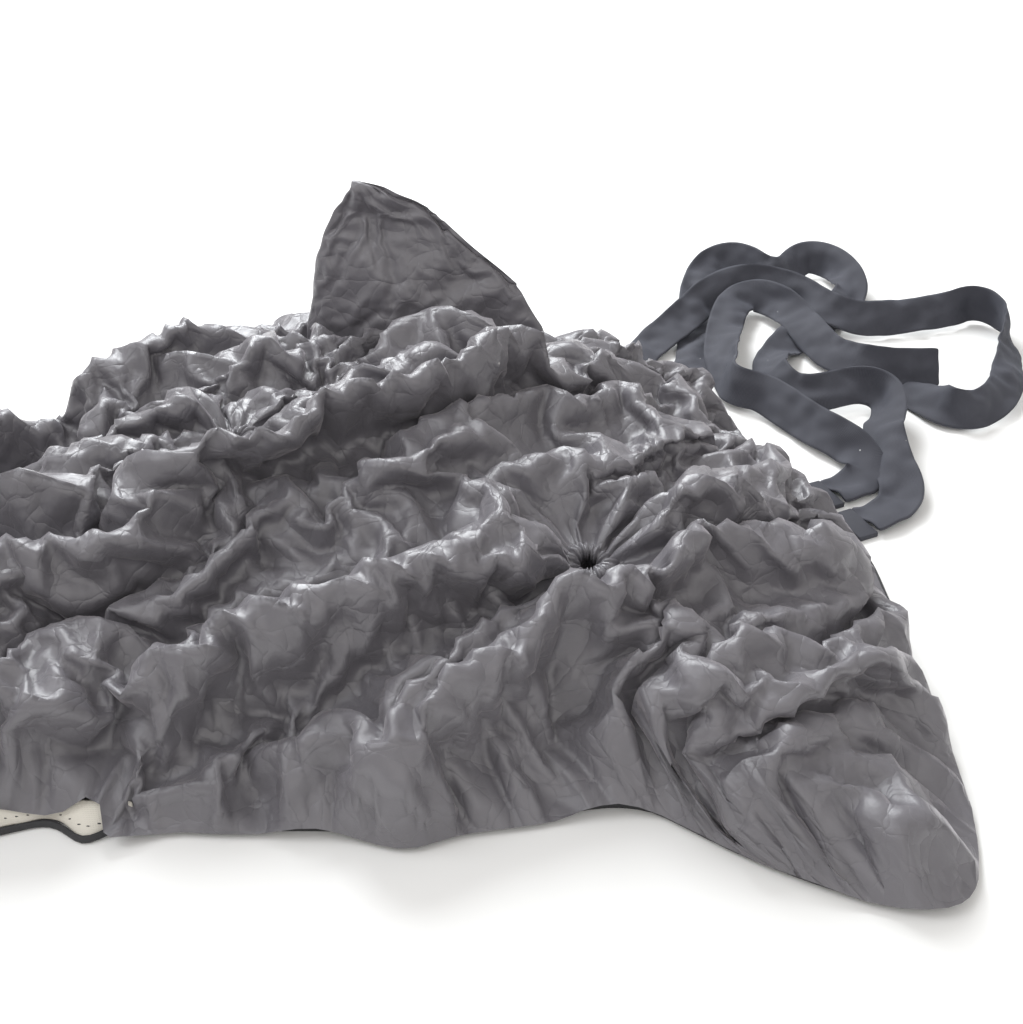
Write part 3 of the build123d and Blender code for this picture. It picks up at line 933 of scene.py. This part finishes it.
def makeBinding():
    bm = gridOverHeap(0.006, False)
    rim = [e for e in bm.edges if e.is_boundary]
    keep = {v for e in rim for v in e.verts}
    bmesh.ops.delete(bm, geom=bm.faces[:], context="FACES_ONLY")
    bmesh.ops.delete(bm, geom=[e for e in bm.edges if e not in set(rim)], context="EDGES")
    bmesh.ops.delete(bm, geom=[v for v in bm.verts if v not in keep], context="VERTS")
    made = bmesh.ops.extrude_edge_only(bm, edges=bm.edges[:])
    upper = [g for g in made["geom"] if isinstance(g, bmesh.types.BMVert)]
    middle = Vector((*heap["crown"], 0))
    for v in bm.verts:
        v.co.z = 0.0004
        out = (v.co - middle).normalized()
        v.co += out * binding["wave"] * noise.noise(v.co * 60)
        if v.co.y < -0.12:
            v.co.y -= hemFlare(v.co.x)
    for v in upper:
        out = Vector((v.co.x - middle.x, v.co.y - middle.y, 0)).normalized()
        v.co.z += binding["height"] + 0.0008 * noise.noise(v.co * 50)
        v.co -= out * 0.0008
    bmesh.ops.subdivide_edges(bm, edges=[e for e in bm.edges if len(e.link_faces) == 2], cuts=1)
    bmesh.ops.recalc_face_normals(bm, faces=bm.faces[:])
    piece = meshObject("edgeBinding", bm, materials["binding"])
    return finishCloth(piece, ["edge_binding"], 1, binding["width"])


def frontEdgeY(x):
    # y of the outline's front edge at x
    points = roundedOutline()
    front = points[points[:, 1] < 0]
    order = np.argsort(front[:, 0])
    return float(np.interp(x, front[order, 0], front[order, 1]))


def makeHem():
    # cream strip of lining that shows under the front edge, with its line of dark stitches
    bm = bmesh.new()
    bmesh.ops.create_grid(bm, x_segments=90, y_segments=5, size=0.5)
    for v in bm.verts:
        u, t = v.co.x + 0.5, v.co.y + 0.5
        x = hem["from"] + (hem["to"] - hem["from"]) * u
        z = hem["low"] + (hem["high"] - hem["low"]) * t ** 1.3
        wave = (0.0012 * noise.noise(Vector((x * 40, t, 0)))
                + 0.0006 * noise.noise(Vector((x * 160, t * 2, 3))))
        v.co = (x, frontEdgeY(x) + 0.002 - hemFlare(x) * (1 - t) + 0.003 * t + wave, z)
    piece = meshObject("liningHem", bm, materials["lining"])
    tree = BVHTree.FromObject(piece, bpy.context.evaluated_depsgraph_get())
    stitches = bmesh.new()
    count = int((hem["to"] - hem["from"]) / hem["stitch"])
    for i in range(count):
        x = hem["from"] + hem["stitch"] * (i + 0.5)
        place = tree.find_nearest((x, frontEdgeY(x) - hemFlare(x) * 0.5, hem["low"] + 0.0042))[0]
        shape = Matrix.Translation(place) @ Matrix.Diagonal((0.0013, 0.0004, 0.00045, 1))
        bmesh.ops.create_icosphere(stitches, subdivisions=1, radius=1, matrix=shape)
    thread = meshObject("hemStitches", stitches, materials["thread"])
    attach(thread, "bag")
    finishCloth(piece, [], 1, 0.0006)
    return piece, thread


mouth = {
    "outerX": -0.2618, "innerX": -0.2255,
    "farEnd": 0.0893, "tall": 0.0625,
    "slotFrom": -0.1610, "slotTo": 0.0610, "slotLow": 0.0135, "slotHigh": 0.0385,
    "columns": 76, "rows": 16,
}


def wallWithSlot(name, x, low, topOf, material, depth):
    # upright cloth across the mouth, with a long slot where the zip is sewn in
    slotFrom, slotTo = mouth["slotFrom"], mouth["slotTo"]
    slotLow, slotHigh = mouth["slotLow"], mouth["slotHigh"]
    bm = bmesh.new()
    bmesh.ops.create_grid(bm, x_segments=mouth["columns"], y_segments=mouth["rows"], size=0.5)
    start, end = frontEdgeY(x), mouth["farEnd"]
    for v in bm.verts:
        u, t = v.co.x + 0.5, v.co.y + 0.5
        y = start + (end - start) * u
        v.co = (x, y, low + t * mouth["tall"])
    cut = []
    for face in bm.faces:
        _, y, z = face.calc_center_median()
        if (slotFrom < y < slotTo and slotLow < z < slotHigh) or z > topOf(y):
            cut.append(face)
    bmesh.ops.delete(bm, geom=cut, context="FACES")
    for v in bm.verts:
        top = topOf(v.co.y)
        if v.is_boundary and v.co.z > 0.040 or v.co.z > top:
            v.co.z = top if v.co.z > top - 0.004 else v.co.z
        beyond = max(slotFrom - v.co.y, v.co.y - slotTo, slotLow - v.co.z, v.co.z - slotHigh, 0)
        free = min(beyond / 0.010, 1)
        v.co.x += free * depth * (0.5 + noise.noise(v.co * 38) + 0.4 * noise.noise(v.co * 90))
    bmesh.ops.subdivide_edges(bm, edges=bm.edges[:], cuts=1, use_grid_fill=True)
    return meshObject(name, bm, material)


def makeMouth():
    outer = wallWithSlot("mouthCloth", mouth["outerX"], 0.0008,
                         lambda y: float(heapHeight(heap["mouthX"], y)) + 0.0025, materials["nylon"], 0.006)
    finishCloth(outer, ["mouth_panel"], 1, 0.0008)
    inner = wallWithSlot("mouthLining", mouth["innerX"], 0.0016,
                         lambda y: 0.0425 if -0.168 < y < 0.068 else 0.018, materials["lining"], 0.004)
    finishCloth(inner, ["mouth_lining"], 1, 0.0008)


def makeLining():
    for name, node, below in (("liningTop", "lining_top", 0.026), ("liningBottom", "lining_bottom", None)):
        bm = gridOverHeap(0.0075, below is not None)
        gone = [v for v in bm.verts if v.co.x < mouth["innerX"] - 0.0009]
        bmesh.ops.delete(bm, geom=gone, context="VERTS")
        for v in bm.verts:
            v.co.x, v.co.y = 0.965 * v.co.x, 0.965 * v.co.y
            if below is None:
                v.co.z = 0.0021 + 0.0003 * noise.noise(v.co * 30)
            else:
                top = max(float(heapHeight(v.co.x, v.co.y)) - below, 0.0028)
                v.co.z = top + 0.10 * (top - 0.0028) * noise.noise(v.co * 40)
        piece = meshObject(name, bm, materials["lining"])
        finishCloth(piece, [node], 0)


bands = {  # elastic in its casing, round the cuff and further down the arm
    "CuffBand": {"part": "cuff", "out": 0.0, "thick": 0.0036, "drop": 0.0},
    "ArmBand": {"part": "arm", "out": 0.010, "thick": 0.0034, "drop": 0.022},
}


def makeSleeves():
    pieces = []
    for side, sleeve in sleeves.items():
        cx, cy = sleeve["place"]
        top = float(heapHeight(cx, cy)) - sleeve["sunk"] + 0.003
        tube = bmesh.new()
        bmesh.ops.create_grid(tube, x_segments=72, y_segments=12, size=0.5)
        for v in tube.verts:
            turn, t = (v.co.x + 0.5) * 2 * math.pi, v.co.y + 0.5
            radius = sleeve["gathered"] * 0.96 + 0.012 * (1 - t) ** 1.2
            ruffle = 1 + 0.10 * math.sin(turn * 13) * t + 0.06 * math.sin(turn * 7 + 3 * t)
            z = top + 0.001 - 0.030 * (1 - t)
            v.co = (cx + radius * ruffle * math.cos(turn), cy + radius * ruffle * math.sin(turn), z)
        bmesh.ops.remove_doubles(tube, verts=tube.verts, dist=0.0001)
        bmesh.ops.recalc_face_normals(tube, faces=tube.faces[:])
        inner = meshObject(side + "SleeveLining", tube, materials["nylon"])
        finishCloth(inner, [side + "_sleeve_lining"], 1,
                    0.0006)
        for band, values in bands.items():
            radius, thick, drop = sleeve["gathered"] + values["out"], values["thick"], values["drop"]
            ring = bmesh.new()
            bmesh.ops.create_circle(ring, segments=12, radius=1)
            bmesh.ops.rotate(ring, verts=ring.verts, cent=(0, 0, 0),
                             matrix=Matrix.Rotation(math.pi / 2, 3, "X"))
            bmesh.ops.scale(ring, vec=(thick, 1, thick * 0.9), verts=ring.verts)
            bmesh.ops.translate(ring, vec=(radius, 0, 0), verts=ring.verts)
            bmesh.ops.spin(ring, geom=ring.verts[:] + ring.edges[:], cent=(0, 0, 0), axis=(0, 0, 1),
                           angle=2 * math.pi, steps=96, use_merge=True)
            for v in ring.verts:
                turn = math.atan2(v.co.y, v.co.x)
                gather = 0.0011 * math.sin(turn * 24) + 0.0007 * math.sin(turn * 11 + 1)
                middle = Vector((radius * math.cos(turn), radius * math.sin(turn), 0))
                v.co = middle + (v.co - middle) * (1 + gather / thick)
                v.co += Vector((cx, cy, top - drop + 0.0015 * math.sin(turn * 2 + cx * 90)))
            bmesh.ops.remove_doubles(ring, verts=ring.verts, dist=0.00005)
            bmesh.ops.recalc_face_normals(ring, faces=ring.faces[:])
            piece = meshObject(side + band, ring, materials["nylon"])
            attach(piece, "bag")
            part = values["part"]
            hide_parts(f"{side}_sleeve_{part}_casing", f"{side}_sleeve_{part}_elastic")
            pieces.append(piece)
    return pieces


def makeTabs():
    # each tape is sewn under the edge with a short doubled tab
    for node, name in (("strap_front_tab", "strapFrontTab"), ("near_tie_tab", "nearTieTab"),
                       ("strap_back_tab", "strapBackTab"), ("far_tie_tab", "farTieTab")):
        bm = bmesh.new()
        bm.from_mesh(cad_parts[node].data)
        bmesh.ops.remove_doubles(bm, verts=bm.verts, dist=0.00001)
        bmesh.ops.dissolve_limit(bm, angle_limit=0.02, verts=bm.verts[:], edges=bm.edges[:])
        bmesh.ops.bevel(bm, geom=bm.edges[:], offset=0.0007, segments=2, affect="EDGES", profile=0.5,
                        material=-1)
        piece = meshObject(name, bm, materials["tab"])
        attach(piece, "bag")
        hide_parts(node)


zipTeeth = {"pitch": 0.0024, "long": 0.0017, "bevel": 0.0003}


def makeTeeth():
    for side in ("outer", "inner"):
        for half in ("lower", "upper"):
            node = f"{side}_zip_{half}_teeth"
            low, high = (Vector(end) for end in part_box(node))
            middle, size = (low + high) / 2, high - low
            bm = bmesh.new()
            count = int(size.y / zipTeeth["pitch"])
            offset = 0.25 if half == "lower" else 0.75
            for i in range(count):
                y = low.y + (i + offset) * zipTeeth["pitch"]
                shape = (Matrix.Translation((middle.x, y, middle.z))
                         @ Matrix.Diagonal((size.x * 0.92, zipTeeth["long"] * 0.8, size.z * 0.92, 1)))
                made = bmesh.ops.create_cube(bm, size=1, matrix=shape)["verts"]
                edges = list({e for v in made for e in v.link_edges})
                bmesh.ops.bevel(bm, geom=edges, offset=zipTeeth["bevel"], segments=1,
                                affect="EDGES", profile=0.5, material=-1)
            piece = meshObject(f"{side}Zip{half.capitalize()}Teeth", bm, materials["metal"], smooth=False)
            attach(piece, "bag")
            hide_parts(node)


cornerPiece = makeCorner()
finishCloth(cornerPiece, [])
makeBottom((makeBinding(), *makeHem()))
makeMouth()
makeLining()
cuffs = makeSleeves()
makeTabs()
makeTeeth()
finishCloth(outerCloth, ["top_panel", "left_sleeve", "right_sleeve"],
            0)
print("pieces made")

for name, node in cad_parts.items():
    if "_zip_" in name:
        node.data.materials.clear()
        node.data.materials.append(materials["binding" if "tape" in name else "metal"])
